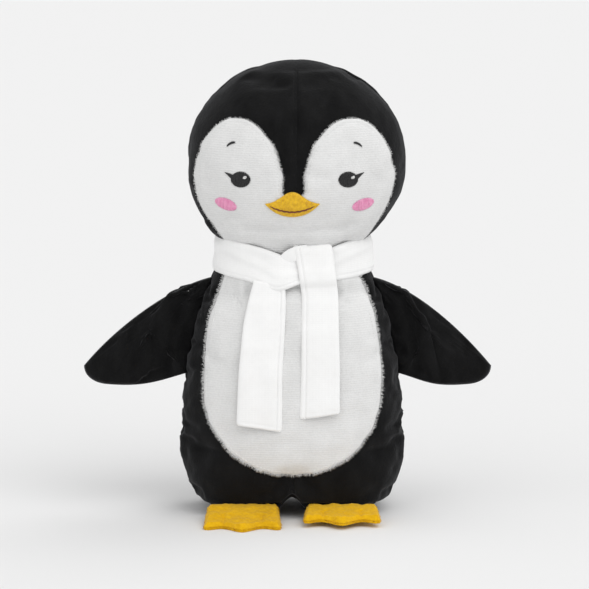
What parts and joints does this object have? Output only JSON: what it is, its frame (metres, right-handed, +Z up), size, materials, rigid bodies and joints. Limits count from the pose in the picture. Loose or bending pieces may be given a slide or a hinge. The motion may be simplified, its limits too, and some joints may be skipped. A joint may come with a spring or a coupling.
{
  "type": "plush penguin",
  "caption": "Standing plush penguin sewn from short pile cloth over fibre filling, with embroidered face, flat wings, felt feet and a tied scarf.",
  "frame": {"origin": "bottom centre of the whole toy's box, on the plane it stands on", "axes": "+Z up to the crown, the belly and face look along -Y, +X to the right seen from the front"},
  "size_m": [0.27, 0.1336, 0.3],
  "materials": {
    "black_minky": "matte",
    "white_minky": "matte",
    "scarf_jersey": "matte",
    "yellow_felt": "matte",
    "thread_black": "satin",
    "thread_white": "satin",
    "thread_yellow": "satin",
    "thread_brown": "satin",
    "thread_pink": "satin",
    "fibre_filling": "matte",
    "bean_cloth": "matte",
    "bean_pellets": "satin"
  },
  "bodies": {
    "torso": {"front_left_panel": "black_minky", "front_right_panel": "black_minky", "back_left_panel": "black_minky", "back_right_panel": "black_minky", "base_panel": "black_minky", "torso_filling": "fibre_filling", "bean_pouch": "bean_cloth", "bean_pellets": "bean_pellets", "belly_patch": "white_minky", "belly_stitching": "thread_white", "scarf_collar": "scarf_jersey", "scarf_knot": "scarf_jersey"},
    "neck": {"neck_skin": "black_minky", "neck_filling": "fibre_filling"},
    "head": {"head_front_left": "black_minky", "head_front_right": "black_minky", "head_back_left": "black_minky", "head_back_right": "black_minky", "head_filling": "fibre_filling", "face_patch": "white_minky", "face_stitching": "thread_white", "beak": "thread_yellow", "mouth_line": "thread_brown", "eye_left": "thread_black", "eye_right": "thread_black", "eye_highlights": "thread_white", "brow_left": "thread_black", "brow_right": "thread_black", "cheek_left": "thread_pink", "cheek_right": "thread_pink"},
    "wing_left": {"wing_left_front": "black_minky", "wing_left_back": "black_minky", "wing_left_filling": "fibre_filling"},
    "wing_right": {"wing_right_front": "black_minky", "wing_right_back": "black_minky", "wing_right_filling": "fibre_filling"},
    "foot_left": {"foot_left_top": "yellow_felt", "foot_left_sole": "yellow_felt", "foot_left_wadding": "fibre_filling"},
    "foot_right": {"foot_right_top": "yellow_felt", "foot_right_sole": "yellow_felt", "foot_right_wadding": "fibre_filling"},
    "tail_left": {"scarf_tail_left": "scarf_jersey"},
    "tail_right": {"scarf_tail_right": "scarf_jersey"}
  },
  "joints": [
    {"name": "neck_turn", "type": "hinge", "parent": "torso", "child": "neck", "pos_m": [0.00315, 0.01477, 0.172], "axis": [0, 0, 1], "range_deg": [-12, 12], "stiffness_Nm_per_rad": 0.3, "deforming": ["scarf_collar"]},
    {"name": "head_nod", "type": "hinge", "parent": "neck", "child": "head", "pos_m": [0.00315, 0.01477, 0.172], "axis": [1, 0, 0], "range_deg": [-8, 4], "stiffness_Nm_per_rad": 0.6, "deforming": ["neck_skin"]},
    {"name": "wing_left_sweep", "type": "hinge", "parent": "torso", "child": "wing_left", "pos_m": [-0.06595, 0.01477, 0.1235], "axis": [0.283, 0, 0.9591], "range_deg": [-50, 50], "stiffness_Nm_per_rad": 0.02},
    {"name": "wing_right_sweep", "type": "hinge", "parent": "torso", "child": "wing_right", "pos_m": [0.07225, 0.01477, 0.1235], "axis": [0.283, 0, -0.9591], "range_deg": [-50, 50], "stiffness_Nm_per_rad": 0.02},
    {"name": "foot_left_flex", "type": "hinge", "parent": "torso", "child": "foot_left", "pos_m": [-0.02935, -0.02477, 0.0087], "axis": [-1, 0, 0], "range_deg": [-35, 50], "stiffness_Nm_per_rad": 0.01},
    {"name": "foot_right_flex", "type": "hinge", "parent": "torso", "child": "foot_right", "pos_m": [0.03565, -0.02477, 0.0087], "axis": [-1, 0, 0], "range_deg": [-35, 50], "stiffness_Nm_per_rad": 0.01},
    {"name": "tail_left_swing", "type": "hinge", "parent": "torso", "child": "tail_left", "pos_m": [-0.01225, -0.02942, 0.1532], "axis": [-1, 0, 0], "range_deg": [0, 95]},
    {"name": "tail_right_swing", "type": "hinge", "parent": "torso", "child": "tail_right", "pos_m": [0.01975, -0.02942, 0.1532], "axis": [-1, 0, 0], "range_deg": [0, 95]}
  ]
}
